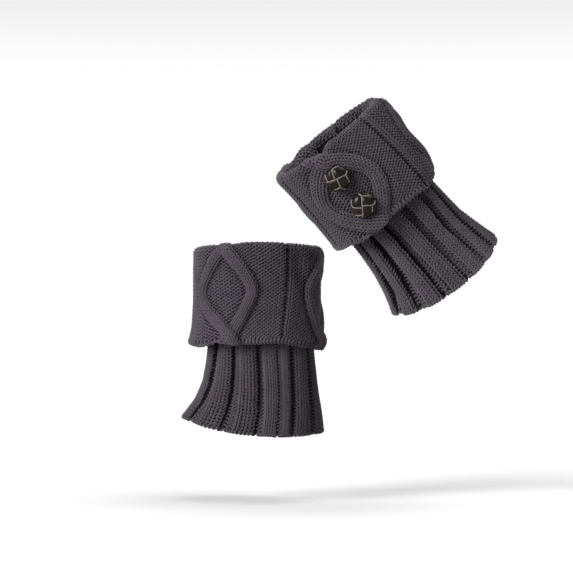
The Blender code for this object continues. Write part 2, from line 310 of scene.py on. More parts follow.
class Finish:
    """A material, with its Principled shader's plain values."""

    def __init__(self, name, **values):
        self.material = bpy.data.materials.new(name)
        self.material.use_nodes = True
        self.tree = self.material.node_tree
        self.shader = self.tree.nodes["Principled BSDF"]
        self.wear(**values)

    def fill(self, node, sockets):
        for key, value in sockets.items():
            if isinstance(value, Wire):
                self.tree.links.new(value.socket, node.inputs[key])
            else:
                node.inputs[key].default_value = value

    def node(self, kind, settings=(), sockets=(), output=0):
        """An output of a new node, its settings made before its sockets are filled."""
        node = self.tree.nodes.new(kind)
        for key, value in dict(settings).items():
            setattr(node, key, value)
        self.fill(node, dict(sockets))
        return Wire(self, node.outputs[output])

    def place(self):
        """Where a point lies on the piece, in metres."""
        return self.node("ShaderNodeTexCoord", output="Object")

    def noise(self, place, scale, detail=2.0, roughness=0.5):
        return self.node("ShaderNodeTexNoise", {}, {
            "Vector": place, "Scale": scale, "Detail": detail, "Roughness": roughness})

    def mix(self, share, first, second):
        """A colour between two colours."""
        return self.node("ShaderNodeMix", {"data_type": "RGBA"}, {0: share, 6: first, 7: second}, 2)

    def bump(self, height, strength, distance, under=None):
        sockets = {"Height": height, "Strength": strength, "Distance": distance}
        if under is not None:
            sockets["Normal"] = under
        return self.node("ShaderNodeBump", {}, sockets)

    def wear(self, **sockets):
        self.fill(self.shader, {key.replace("_", " "): value for key, value in sockets.items()})
        return self.material


def rgb(red, green, blue):
    """A colour for a socket, from the numbers a paint chart gives, 0 to 255."""
    return tuple(((part / 255 + 0.055) / 1.055) ** 2.4 for part in (red, green, blue)) + (1.0,)


YARN_MAP = "OFBake"       # the map laid along each yarn and round it
PLIES = 2
TWISTS = 3                # turns of the plies along one stitch
YARN_LIGHT = rgb(66, 59, 67)
YARN_DARK = rgb(44, 38, 45)


def yarn_finish(name, stitches, rows):
    """Matt plied yarn, darker in the grooves between its plies as painted shade and lighter on its
    raised fibres as painted glints. Its map is that many stitches long, and has that many rows of yarn.
    """
    finish = Finish(name, Sheen_Weight=0.10, Sheen_Roughness=0.5, Specular_IOR_Level=0.12)
    place = finish.place()
    mottle = finish.noise(place, 90.0, 3.0, 0.6).between(0.30, 0.70)
    fibre_fuzz_and_glints = finish.noise(place, 1400.0, 2.0, 0.7)
    drift = finish.noise(place, 14.0, 1.0, 0.5).between(0.35, 0.65)
    along = finish.node("ShaderNodeSeparateXYZ", {}, {
        0: finish.node("ShaderNodeUVMap", {"uv_map": YARN_MAP})})
    turns = along * (2 * pi * TWISTS * stitches) + along.beside(1) * (2 * pi * PLIES * rows)
    ply_relief_and_shade = turns.sine() * 0.5 + 0.5
    # Besides the yarn's own uneven tone, its colour is lighter on the ply crowns and raised fibres:
    # painted shade and painted glints
    share = mottle * 0.30 + fibre_fuzz_and_glints.between(0.28, 0.72) * 0.30 + drift * 0.15 + ply_relief_and_shade * 0.25
    fuzz = finish.bump(fibre_fuzz_and_glints, 0.30, 0.35 * MM)
    twist = finish.bump(ply_relief_and_shade, 0.60, 0.30 * MM, fuzz)
    return finish.wear(Base_Color=finish.mix(share, YARN_DARK, YARN_LIGHT), Normal=twist,
                       Roughness=0.98 - fibre_fuzz_and_glints * 0.12)


def grained_finish(name, gloss, grain, dark, light, bump, roughness, polish):
    """One even grain: grain is its scale, detail and roughness as a noise, bump its strength and
    depth, and polish how much less rough it is where it is light."""
    finish = Finish(name, Specular_IOR_Level=gloss)
    speck = finish.noise(finish.place(), *grain).between(0.3, 0.7)
    return finish.wear(Base_Color=finish.mix(speck, dark, light), Normal=finish.bump(speck, *bump),
                       Roughness=roughness - speck * polish)


def leather_finish():
    """Dark brown leather, polished by wear, with a fine grain and uneven dye."""
    finish = Finish("polished dark brown leather", Specular_IOR_Level=0.11)
    place = finish.place()
    dye = finish.noise(place, 160.0, 2.0, 0.5).between(0.35, 0.65)
    cloudy = finish.noise(place, 60.0, 1.0, 0.5).between(0.4, 0.6)
    grain = finish.noise(place, 2600.0, 2.0, 0.6)
    worn = finish.noise(place, 420.0, 3.0, 0.6)
    colour = finish.mix(dye, rgb(14, 10, 8), finish.mix(cloudy, rgb(25, 18, 13), rgb(18, 17, 13)))
    return finish.wear(Base_Color=colour, Roughness=worn * 0.2 + 0.12,
                       Normal=finish.bump(grain, 0.2, 0.06 * MM, finish.bump(worn, 0.15, 0.2 * MM)))


# The backing is a skin through the middle of the knit, seen only between the yarns; its near-black
# colour is painted shade of the deep gaps between them
SHADE_BACKING_FINISH = grained_finish(
    "painted shade between the yarns", gloss=0.05, grain=(900.0, 2.0, 0.6), dark=rgb(12, 10, 13),
    light=rgb(22, 19, 23), bump=(0.4, 0.3 * MM), roughness=1.0, polish=0.05)
LEATHER_FINISH = leather_finish()
PIPING_FINISH = grained_finish(
    "taupe seam piping", gloss=0.35, grain=(700.0, 3.0, 0.6), dark=rgb(68, 59, 53),
    light=rgb(98, 86, 78), bump=(0.3, 0.1 * MM), roughness=0.62, polish=0.12)
THREAD_FINISH = grained_finish(
    "black button thread", gloss=0.3, grain=(1800.0, 2.0, 0.7), dark=rgb(20, 19, 22),
    light=rgb(44, 41, 46), bump=(0.4, 0.1 * MM), roughness=0.9, polish=0.1)


# ---- the cloth's form ----------------------------------------------------------------------

EASING = 0.05             # levels above and below over which rings are eased together
EASING_WEIGHTS = np.array((1, 2, 3, 4, 3, 2, 1)) / 16
CORNER_EASING = 5         # degrees each way over which the cuff's lower edge is rounded


def unit(vectors):
    return vectors / np.linalg.norm(vectors, axis=-1, keepdims=True)


def path_length(x, y):
    """The length along a path up to each of its points."""
    return np.concatenate(([0.0], np.cumsum(np.hypot(np.diff(x), np.diff(y)))))


def evened(values, reach):
    """Each value along the last axis as the mean of those up to that many away, end to end."""
    near = range(-reach, reach + 1)
    return sum(np.roll(values, shift, axis=-1) for shift in near) / len(near)


def smooth(part):
    """A smooth step from 0 to 1."""
    part = np.clip(part, 0.0, 1.0)
    return part * part * (3 - 2 * part)


def bell(away, spread):
    """1 in the middle, falling away smoothly to each side."""
    return np.exp(-(away / spread) ** 2)


def oval(half_width, half_depth, shift, rounds):
    """Points x, y and turns in radians at the given fractions of the way round an oval."""
    turns = np.linspace(0.0, 2.0 * pi, OVAL_STEPS + 1)
    x = half_width * np.sign(np.sin(turns)) * np.abs(np.sin(turns)) ** (2.0 / OVAL_POWER)
    y = -half_depth * np.sign(np.cos(turns)) * np.abs(np.cos(turns)) ** (2.0 / OVAL_POWER)
    length = path_length(x, y)
    wanted = (np.asarray(rounds) % 1.0) * length[-1]
    return (np.interp(wanted, length, x) + shift,
            np.interp(wanted, length, y),
            np.interp(wanted, length, turns))


def perimeter(ring):
    """The length round a ring, in the ring's own unit."""
    x, y, _ = oval(ring.half_width, ring.half_depth, 0.0, np.linspace(0.0, 1.0, OVAL_STEPS + 1)[:-1])
    return float(np.sum(np.hypot(x - np.roll(x, 1), y - np.roll(y, 1))))


def round_of(ring, turn):
    """The fraction of the way round a ring at a turn in degrees."""
    rounds = np.linspace(-0.5, 0.5, OVAL_STEPS + 1)
    turns = oval(ring.half_width, ring.half_depth, 0.0, rounds)[2]
    signed = np.where(rounds < 0.0, turns - 2.0 * pi, turns)
    return float(np.interp(radians(turn), signed, rounds))


def around(level, turns):
    """A height that differs at the front, the two sides and the back, in smooth waves."""
    ends = 0.5 * (level.front + level.back)
    return (0.5 * (level.side + ends) + 0.5 * (level.back - level.front) * np.sin(turns)
            + 0.5 * (level.side - ends) * np.cos(2.0 * turns))


def apart(rounds, middle):
    """How far rounds lie from a middle, the short way, from -0.5 to 0.5."""
    return (np.asarray(rounds) - middle + 0.5) % 1.0 - 0.5


def diamond_rounds(leg):
    """How far round the cuff each diamond's middle lies."""
    first = round_of(leg.cuff[-1], leg.diamond)
    return [first + index / DIAMOND_COUNT for index in range(DIAMOND_COUNT)]


def rim_height(leg, rounds, turns):
    """Height of the rolled top, drawn down a little where the cables cross."""
    height = around(leg.rim, turns)
    reach = CROSSING_REACH / MM / perimeter(leg.cuff[-1])
    for middle in diamond_rounds(leg):
        height = height - leg.crossing_dip * bell(apart(rounds, middle), reach)
    return height * MM


def seam_height(leg):
    """Height where the tube's top meets the part of the cuff that reaches down inside."""
    return (leg.rim.side - leg.crossing_dip) * MM - FOLD_RADIUS - CUFF_RETURN


def edge_lift(leg, turns):
    """How far the cuff's wavy lower edge lies above its own level, its corners rounded."""
    degrees = np.arange(360)
    lifts = evened(np.interp(degrees, *zip(*leg.edge), period=360.0), CORNER_EASING)
    return np.interp(np.degrees(turns), degrees, lifts, period=360.0) * MM


def ring_at(rings, level):
    """The ring at a level, eased between the ones in the table."""
    levels, *columns = zip(*sorted(rings))
    near = level + EASING * np.linspace(-1.0, 1.0, len(EASING_WEIGHTS))
    return Ring(level, *(float(EASING_WEIGHTS @ np.interp(near, levels, column)) for column in columns))


class Cloth:
    """The middle of a layer of knit: rows of points up it, columns of points across it."""

    def __init__(self, points, closed, courses):
        self.points = points
        self.closed = closed
        self.courses = courses
        if closed:
            across = np.roll(points, -1, axis=1) - np.roll(points, 1, axis=1)
        else:
            across = np.gradient(points, axis=1)
        self.outward = unit(np.cross(across, np.gradient(points, axis=0)))

    def moved(self, depths):
        return Cloth(self.points + self.outward * depths[..., None], self.closed, self.courses)

    def read(self, grid, across, course):
        """The grid's values at fractions of the way across and at courses up it."""
        rows, columns = grid.shape[:2]
        steps = columns if self.closed else columns - 1
        place = (across % 1.0 if self.closed else np.clip(across, 0.0, 1.0)) * steps
        left = np.minimum(place.astype(int), steps - 1)
        right = (left + 1) % columns
        part = (place - left)[..., None]
        height = np.clip(course / self.courses, 0.0, 1.0) * (rows - 1)
        low = np.minimum(height.astype(int), rows - 2)
        rise = (height - low)[..., None]
        under = grid[low, left] * (1 - part) + grid[low, right] * part
        over = grid[low + 1, left] * (1 - part) + grid[low + 1, right] * part
        return under * (1 - rise) + over * rise

    def at(self, across, course, out):
        """Points that far outward from the cloth's middle."""
        return self.read(self.points, across, course) + self.facing(across, course) * out[..., None]

    def facing(self, across, course):
        return unit(self.read(self.outward, across, course))

    def net(self, across, courses, out):
        """A row of points for each course, with one at each place across, that far outward."""
        across, courses = np.meshgrid(across, courses)
        return self.at(across, courses, np.full(across.shape, out))


def crease_depths(creases, ring, rounds, heights):
    """How far the creases move each point of a grid outward. Heights are in mm."""
    moved = np.zeros((len(heights), len(rounds)))
    for crease in creases:
        rise = (heights - crease.height)[:, None]
        side = apart(rounds, round_of(ring, crease.turn))[None, :] * perimeter(ring)
        side = side - crease.slant * rise
        moved -= crease.depth * bell(side, crease.width) * bell(rise, crease.length)
    return moved * MM


CUFF_COLUMNS = 480
TUBE_COLUMNS = 980
ROWS_PER_COURSE = 3
PULL_POWER = 1.6          # how fast a pull at the lower edge fades up the cuff


def course_height(leg):
    """Height of one course of the cuff's outer layer, in mm."""
    return (leg.rim.side - FOLD_RADIUS / MM) / leg.cuff_courses


def pulled(leg, rounds, level):
    """Where on its oval each part of the cuff's knit lies."""
    first, length = diamond_rounds(leg)[0], perimeter(leg.cuff[-1])
    part = (1.0 - level) ** PULL_POWER
    for pull in leg.pulls:
        near = bell(apart(rounds, first + pull.away), pull.spread)
        rounds = rounds + near * (pull.high + (pull.low - pull.high) * part) / length
    return rounds


def cuff_row(leg, course, rounds):
    """Points round the middle of the cuff's knit, at a course counted from its lower edge."""
    level = min(course / leg.cuff_courses, 1.0)
    ring = ring_at(leg.cuff, level)
    inward, rise, seam = WALL / 2, 0.0, 0.0
    if course > leg.cuff_courses:
        over = course - leg.cuff_courses
        bend = pi * min(over / ROLL_COURSES, 1.0)
        radius = FOLD_RADIUS - WALL / 2
        inward, rise = FOLD_RADIUS - radius * cos(bend), radius * sin(bend)
        seam = max(over - ROLL_COURSES, 0.0) / RETURN_COURSES
    x, y, turns = oval(ring.half_width * MM - inward, ring.half_depth * MM - inward,
                       ring.shift * MM, pulled(leg, rounds, level))
    low = edge_lift(leg, turns)
    high = rim_height(leg, rounds, turns) - FOLD_RADIUS
    z = low + (high - low) * level + rise
    return np.column_stack((x, y, z + (seam_height(leg) - z) * seam))


def cuff_cloth(leg):
    """The cuff's knit from its lower edge, over the roll and down inside."""
    courses = leg.cuff_courses + ROLL_COURSES + RETURN_COURSES
    steps = np.linspace(0.0, courses, courses * ROWS_PER_COURSE + 1)
    rounds = np.arange(CUFF_COLUMNS) / CUFF_COLUMNS
    cloth = Cloth(np.stack([cuff_row(leg, step, rounds) for step in steps]), True, courses)
    moved = crease_depths(leg.cuff_creases, leg.cuff[-1], rounds, steps * course_height(leg))
    return cloth.moved(moved * np.clip(leg.cuff_courses + 1 - steps, 0.0, 1.0)[:, None])


def rib_edges(leg):
    """How far round each rib starts, with the end of the last."""
    widths = np.array(leg.rib_widths) / sum(leg.rib_widths)
    return round_of(leg.tube[2], leg.first_valley) + np.concatenate(([0.0], np.cumsum(widths)))


# Past its crest a rib drops into a crease, rises steeply to a ledge and climbs slowly to the next
# crest. Places and widths are in parts of a rib, and places are counted from the crest's end.
CREASE_START = 0.05
CREASE_END = 0.07
LEDGE_START = 0.12
# Where the rib yarn is drawn out of sight, the dark backing shows in its place as painted shade down the
# crease
HIDDEN_START = -0.01      # from here to HIDDEN_END the yarn is drawn in, out of sight
HIDDEN_END = 0.09
OPEN_HIDDEN_END = 0.21    # where that ends on a ledge that keeps the crease's whole depth
OPEN_LEDGE = 0.8          # a ledge that keeps more than this starts to be hidden too
HIDDEN_FADE = 0.03
CREASE_HIDES = 2.0 * MM
OVERHANG = 0.03           # how far the crest's edge leans out over the crease
OVERHANG_PLACE = -0.02
TUCK = 0.10               # how far the crease reaches back under it
TUCK_PLACE = 0.085
FOLD_SPREAD = 0.057
SHALLOWER = 0.75          # part of the depth that a shallow valley lacks
SHALLOW_SPREAD = 0.35     # ribs to each side of it over which it is shallow
CROWN = 0.12              # how far a crest's edges lie below its middle, of the crease's depth
VALLEY_PULL = 1.6         # how much deeper the yarn draws in between ribs than the plain form
HEM_PULL = 0.7            # the same at the hem
HEM_PULL_ENDS = -0.6      # level above which the whole pull is reached


def rib_places(leg, rounds):
    """Places across the ribs, running on past 1 up the slope to the next crest."""
    edges = rib_edges(leg)
    place = np.interp((rounds - edges[0]) % 1.0 + edges[0], edges, np.arange(RIB_COUNT + 1)) % 1.0
    return np.where(place < leg.rib_form.crest_start, place + 1.0, place)


def ledge_depths(leg, rounds):
    """How deep the ledge past the nearest crease lies, as a part of the crease's depth."""
    valleys = rib_edges(leg)[:-1]
    nearest = np.argmin([np.abs(apart(rounds, valley)) for valley in valleys], axis=0)
    return np.array(leg.ledges)[nearest]


def rib_creases(leg, rounds):
    """1 where the ribs' yarn is drawn out of sight down a crease, leaving the dark backing there as
    painted shade, and 0 elsewhere.
    """
    place = rib_places(leg, rounds) - leg.rib_form.crest_end
    end = np.interp(ledge_depths(leg, rounds), (OPEN_LEDGE, 1.0), (HIDDEN_END, OPEN_HIDDEN_END))
    return smooth((place - HIDDEN_START) / HIDDEN_FADE) * smooth((end - place) / HIDDEN_FADE)


def rib_folds(leg, rounds):
    """How deep the cloth sinks between the ribs, from 0 to 1, and how far round it is pushed."""
    edges, form = rib_edges(leg), leg.rib_form
    place = rib_places(leg, rounds)
    past = place - form.crest_end
    push = (OVERHANG * bell(past - OVERHANG_PLACE, FOLD_SPREAD)
            - TUCK * bell(past - TUCK_PLACE, FOLD_SPREAD)) / RIB_COUNT
    fall = smooth(past / CREASE_START)
    ledge = ledge_depths(leg, rounds)
    climb = ((1.0 - ledge) * smooth((past - CREASE_END) / (LEDGE_START - CREASE_END))
             + ledge * smooth((place - form.ledge_end) / (1.0 + form.crest_start - form.ledge_end)))
    middle, half = (form.crest_end + form.crest_start) / 2, (form.crest_end - form.crest_start) / 2
    crown = np.clip(np.abs(place - middle) / half, 0.0, 1.0) ** 2
    sink = CROWN * crown + (1.0 - CROWN) * (fall - climb)
    for index in leg.shallow_valleys:
        away = apart(rounds, edges[index]) * RIB_COUNT
        sink = sink * (1 - SHALLOWER * bell(away, SHALLOW_SPREAD))
    return sink, push


def tube_row(leg, level, rounds, sink, push):
    """Points round the middle of the tube's knit at a level from -1 at the hem to 1."""
    ring = ring_at(leg.tube, level)
    drift = RIB_DRIFT * np.cos(2.0 * (2.0 * pi * rounds - DRIFT_TURN)) * max(-level, 0.0)
    drift = drift + push * min(1.0, 2.0 - 2.0 * level)
    width, depth = ring.half_width * MM - WALL / 2, ring.half_depth * MM - WALL / 2
    valley = ring.valley * np.interp(level, (-1.0, HEM_PULL_ENDS), (HEM_PULL, VALLEY_PULL)) * MM
    crest = oval(width, depth, ring.shift * MM, rounds + drift)
    trough = oval(width - valley, depth - valley, ring.shift * MM, rounds + drift)
    x = crest[0] + (trough[0] - crest[0]) * sink
    y = crest[1] + (trough[1] - crest[1]) * sink
    if level > 0.0:
        z = np.full(len(x), level * (seam_height(leg) - SEAM_GAP))
    else:
        z = level * around(leg.hem, crest[2]) * MM
    return np.column_stack((x, y, z))


def tube_cloth(leg):
    """The ribbed knit from the hem to where it meets the cuff inside."""
    courses = leg.rib_courses + leg.inner_courses
    steps = np.linspace(0.0, courses, courses * ROWS_PER_COURSE + 1)
    levels = np.interp(steps, (0, leg.rib_courses, courses), (-1.0, 0.0, 1.0))
    rounds = np.arange(TUBE_COLUMNS) / TUBE_COLUMNS
    sink, push = rib_folds(leg, rounds)
    rings = np.stack([tube_row(leg, level, rounds, sink, push) for level in levels])
    heights = np.interp(levels, (-1.0, 0.0, 1.0), (-leg.hem.side, 0.0, seam_height(leg) / MM))
    return Cloth(rings, True, courses).moved(
        crease_depths(leg.tube_creases, leg.tube[2], rounds, heights))


def cable_side(cable, heights):
    """How far a strand's middle lies from the diamond's middle line, in mm. Past a crossing
    it is below 0, where the strand has gone over to the other side."""
    reach = (heights - (cable.low + cable.high) / 2) / ((cable.high - cable.low) / 2)
    full = np.hypot(1.0, cable.rounding)
    return cable.reach * (full - np.hypot(reach, cable.rounding)) / (full - cable.rounding)


STRAND_COLUMNS = 17
STRAND_ROWS = 2           # rows of points in a course
STRAND_STEPS = 300        # steps that its path is measured in
STRAND_BELOW = 0.4        # courses from the cuff's lower edge down to where it starts
STRAND_SHORT = 0.3        # courses that it ends short of the cuff's other edge
STRAND_WALES = 3
STRAND_RISE = 2.7 * MM    # middle of the knit on a strand's crown, above that of the ground
STRAND_ROOT = -1.0 * MM   # where its flanks go into the ground
STRAND_FULLNESS = 3.2     # 2 is a half ellipse, more has steeper flanks
LOW_CROSSING = (2.2 * MM, -0.8 * MM)  # how far the strand over and the one under move out
HIGH_CROSSING = (0.9 * MM, -1.5 * MM)
CROSSING_HALF = 12.0      # mm up and down from a crossing's middle
ROLL_FLATTENS = 0.6       # part of a strand's rise that is lost over the roll


def strand_cloth(leg, cuff, middle, side):
    """The rounded band of knit that makes one strand of a diamond; side is -1 or 1."""
    cable, pitch = leg.cable, course_height(leg)
    fine = np.linspace(-STRAND_BELOW * pitch, (cuff.courses - STRAND_SHORT) * pitch, STRAND_STEPS)
    path = path_length(fine, cable_side(cable, fine))
    courses = int(round(path[-1] * MM / COURSE))
    heights = np.interp(np.linspace(0.0, path[-1], courses * STRAND_ROWS + 1), path, fine)
    sides = side * cable_side(cable, heights)
    lean = np.arctan(np.gradient(sides, heights))[:, None]
    place = np.linspace(-1.0, 1.0, STRAND_COLUMNS)
    x = place * cable.width / 2
    over_roll = np.clip(heights / pitch - leg.cuff_courses + 1, 0.0, 2.0) / 2
    crown = STRAND_RISE * (1 - ROLL_FLATTENS * over_roll)
    rise = STRAND_ROOT + (crown[:, None] - STRAND_ROOT) * np.sqrt(1 - np.abs(place) ** STRAND_FULLNESS)
    for crossing, (over, under), above in ((cable.high, HIGH_CROSSING, side > 0),
                                           (cable.low, LOW_CROSSING, side < 0)):
        near = 0.5 + 0.5 * np.cos(pi * np.clip((heights - crossing) / CROSSING_HALF, -1.0, 1.0))
        rise = rise + near[:, None] * (over if above else under)
    across = middle + (sides[:, None] + x * np.cos(lean)) / perimeter(leg.cuff[-1])
    points = cuff.at(across, (heights[:, None] - x * np.sin(lean)) / pitch, rise)
    return Cloth(points, False, courses)


# ---- making meshes -------------------------------------------------------------------------

CELL_END = 0.01           # margins of a cell of the map: at the ends of a yarn or a skin
YARN_MARGIN = 0.04        # beside a yarn
SKIN_MARGIN = 0.03        # beside a skin
YARN_CAP = 0.005          # most that half of a yarn's cap takes of its cell
CAP_LENGTH = 0.8          # part of that which the cap fills
CAP_WIDTH = 0.3
SKIN_CAP = 0.012          # radius of a skin's cap, as a part of its cell
SKIN_CAP_PLACES = (0.015, 0.985)


def inset(part, margin):
    """A place in a cell, from a part of the way between its margins."""
    return margin + (1 - 2 * margin) * part


def put(name, data):
    """A new thing in the scene."""
    thing = bpy.data.objects.new(name, data)
    bpy.context.scene.collection.objects.link(thing)
    return thing


class Making:
    """Collects the tubes and skins of one piece. Each has a cell of its own on the map."""

    def __init__(self, rows, columns=1):
        self.rows = rows
        self.columns = columns
        self.used = 0
        self.count = 0
        self.points = []
        self.faces = []
        self.places = []

    def cell(self, index, u, v):
        """Places on the map, from places in a cell."""
        index = self.used + index
        u, v = np.broadcast_arrays((index % self.columns + u) / self.columns,
                                   (index // self.columns + v) / self.rows)
        return np.stack((u, v), axis=-1).reshape(-1, 2)

    def take(self, points, faces, places):
        self.points.append(points.reshape(-1, 3))
        self.faces.append(faces + self.count)
        self.places.append(places)

    def take_quads(self, points, here, there, side, index, corners):
        """Quads between the rings of points that start at here and the ones at there."""
        turned = (side + 1) % len(side)
        quads = np.stack((here + side, here + turned, there + turned, there + side), axis=2)
        places = [self.cell(index, u, v) for u, v in corners]
        self.take(points, quads.reshape(-1, 4), np.stack(places, axis=1).reshape(-1, 2))

    def add_yarns(self, centres, outward, radius, sides, closed, keep=None):
        """Round yarns along rows of points. keep says which steps between points are made."""
        many, length = centres.shape[:2]
        steps = length if closed else length - 1
        across = np.arange(steps + 1) / steps
        if keep is None:
            keep = np.ones((many, steps), bool)
        if closed:
            tangent = np.roll(centres, -1, axis=1) - np.roll(centres, 1, axis=1)
            before, after = np.roll(keep, 1, axis=1), keep
        else:
            tangent = np.gradient(centres, axis=1)
            before, after = np.pad(keep, ((0, 0), (1, 0))), np.pad(keep, ((0, 0), (0, 1)))
            across = inset(across, CELL_END)
        tangent = unit(tangent)
        beside = unit(np.cross(tangent, outward))
        above = np.cross(beside, tangent)
        side = np.arange(sides)
        bend = 2 * pi * side / sides
        ring = above[:, :, None] * np.cos(bend)[:, None] + beside[:, :, None] * np.sin(bend)[:, None]
        points = centres[:, :, None] + ring * np.broadcast_to(radius, (many, length))[:, :, None, None]

        yarn, step = (index[:, None] for index in np.nonzero(keep))
        here = (yarn * length + step) * sides
        there = (yarn * length + (step + 1) % length) * sides
        start, end = across[step], across[step + 1]
        low, high = (inset((side + one) / sides, YARN_MARGIN) for one in (0, 1))
        self.take_quads(points, here, there, side, yarn,
                        ((start, low), (start, high), (end, high), (end, low)))

        half = min(0.5 / steps, YARN_CAP)
        for marks, order, way in ((after & ~before, side[::-1], -1), (before & ~after, side, 1)):
            yarn, at = (index[:, None] for index in np.nonzero(marks))
            u = (across[at] + way * half) % 1.0 + CAP_LENGTH * half * np.cos(bend[order])
            v = 0.5 + CAP_WIDTH * np.sin(bend[order])
            self.take(points[:0], (yarn * length + at) * sides + order, self.cell(yarn, u, v))
        self.count += many * length * sides
        self.used += many

    def knit(self, cloth, across, up, out, radius, sides, keep=None):
        """Rows of yarn on a cloth, at those places on it and that far outward."""
        self.add_yarns(cloth.at(across, up, out), cloth.facing(across, up), radius, sides,
                       cloth.closed, keep)

    def add_skin(self, rings, closed):
        """Closed rings of points joined one to the next, and the last to the first or capped."""
        many, length = rings.shape[:2]
        row = np.arange(many if closed else many - 1)[:, None]
        column = np.arange(length)
        left, right = (inset((column + one) / length, CELL_END) for one in (0, 1))
        low, high = (inset((row + one) / len(row), SKIN_MARGIN) for one in (0, 1))
        self.take_quads(rings, row * length, (row + 1) % many * length, column, 0,
                        ((left, low), (right, low), (right, high), (left, high)))
        if not closed:
            ends = zip((0, (many - 1) * length), (column[::-1], column), SKIN_CAP_PLACES)
            for first, order, place in ends:
                bend = 2 * pi * order / length
                self.take(rings[:0], first + order[None],
                          self.cell(0, 0.5 + SKIN_CAP * np.cos(bend), place + SKIN_CAP * np.sin(bend)))
        self.count += many * length
        self.used += 1

    def piece(self, name, material, slot, matrix):
        """A smooth piece that rides on the garment's body."""
        points = np.concatenate(self.points)
        used = np.zeros(len(points), bool)
        for faces in self.faces:
            used[faces] = True
        new = np.cumsum(used) - 1
        mesh = bpy.data.meshes.new(name)
        mesh.from_pydata(points[used].tolist(), [],
                         [face for faces in self.faces for face in new[faces].tolist()])
        mesh.transform(matrix)
        mesh.materials.append(material)
        layer = mesh.uv_layers.new(name=YARN_MAP)
        layer.uv.foreach_set("vector", np.concatenate(self.places).astype(np.float32).ravel())
        mesh.shade_smooth()
        piece = put(name, mesh)
        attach(piece, BODY)
        return piece


# ---- knitting ------------------------------------------------------------------------------

def knit_path(signs, first_course, segments, closed, knit=KNIT):
    """Rows of looped yarn: across in wales, up in courses and outward in metres.

    signs has a row per course and a column per wale: 1 where a loop's head stands out, as on
    purl, and -1 where its legs do.
    """
    many, wales = signs.shape
    steps = np.arange(wales * segments + (0 if closed else 1))
    wale = np.minimum(steps // segments, wales - 1)
    u = steps / segments - wale - 0.5
    after = (wale + 1) % wales if closed else np.minimum(wale + 1, wales - 1)
    before = wale - 1 if closed else np.maximum(wale - 1, 0)
    depths = np.where(signs > 0, PURL.depth, -knit.depth) * MM
    leans = np.where(signs > 0, PURL.lean, knit.lean)
    own = depths[:, wale]
    foot = (own + np.where(u < 0, depths[:, before], depths[:, after])) / 2
    past = (1 - np.cos(4 * pi * (np.abs(u) - 0.25))) / 2
    out = np.where(np.abs(u) <= 0.25, own * np.cos(4 * pi * u), -own + (foot + own) * past)
    loose = rng.normal(0.0, 1.0, (3, many, wales))[:, :, wale] * np.cos(pi * u) ** 2
    loose = loose * LOOSENESS[:, None, None]
    across = wale + 0.5 + u + leans[:, wale] * np.sin(4 * pi * u) + loose[0]
    bends = np.where(signs > 0, PURL.bend, knit.bend)[:, wale]
    rise = LOOP_RISE * np.tanh(bends * np.cos(2 * pi * u)) / np.tanh(bends)
    up = first_course + np.arange(many)[:, None] + rise + loose[1]
    return across, up, out + loose[2]


# How finely yarn is made, where it shows and inside: faces round it and steps along a stitch
Detail = namedtuple("Detail", "sides segments")
SHOWN = Detail(5, 8)
INSIDE = Detail(4, 6)
THICKNESS_VARIES = 0.12   # part of its radius that yarn varies by, before it is evened
THICKNESS_EASING = 4      # steps each way that it is evened over
FIRST_COURSE = 1.7        # the cuff's lowest course of stitches, above its bound-off edge
FIRST_STRAND_COURSE = 0.8
FIRST_RIB_COURSE = 1.2
# The plain wale, in wales: its edges' places and how much of the gap and the depth each has
LINE_EDGES = ((-0.5, 1.0), (0.5, 0.5))
LINE_GAP = 0.16           # how far it and the stitches beside it stand apart
LINE_EASING = 0.15
LINE_FADE = 1.5           # how far from it stitches are pushed aside
LINE_SPREAD = 0.24
LINE_DEPTH = 1.1 * MM
GROOVE = 0.5 * MM         # how deep the ground sinks beside a strand
GROOVE_AWAY = 1.8         # mm beside the strand
GROOVE_SPREAD = 2.4
GROUND_ENDS = 0.74        # where the ground under a strand stops, in halves of its width
CABLE_CELLS = 12          # short yarns side by side on the cables' map
CABLE_ROWS = 20           # about how many rows of them there are
BACK_COLUMNS = np.linspace(0.04, 0.96, 9)
BACK_DEPTHS = (-0.2 * MM, -1.0 * MM)  # of the back inside a strand, under the middle of its knit
SKIN = 0.12 * MM          # half the thickness of a backing


def loose_radius(shape, radius=YARN):
    """The yarn's radius along rows of yarn, slightly uneven."""
    return radius * (1 + THICKNESS_VARIES * evened(rng.normal(0.0, 1.0, shape), THICKNESS_EASING))


def strand_distance(leg, rounds, heights):
    """How far points of the cuff lie from the middle of the nearest strand, in mm."""
    side = cable_side(leg.cable, heights)
    slope = cable_side(leg.cable, heights + 0.5) - cable_side(leg.cable, heights - 0.5)
    nearest = np.full(heights.shape, np.inf)
    for middle in diamond_rounds(leg):
        x = apart(rounds, middle) * perimeter(leg.cuff[-1])
        for way in (-1, 1):
            nearest = np.minimum(nearest, np.abs(x - way * side) / np.hypot(1.0, slope))
    return nearest


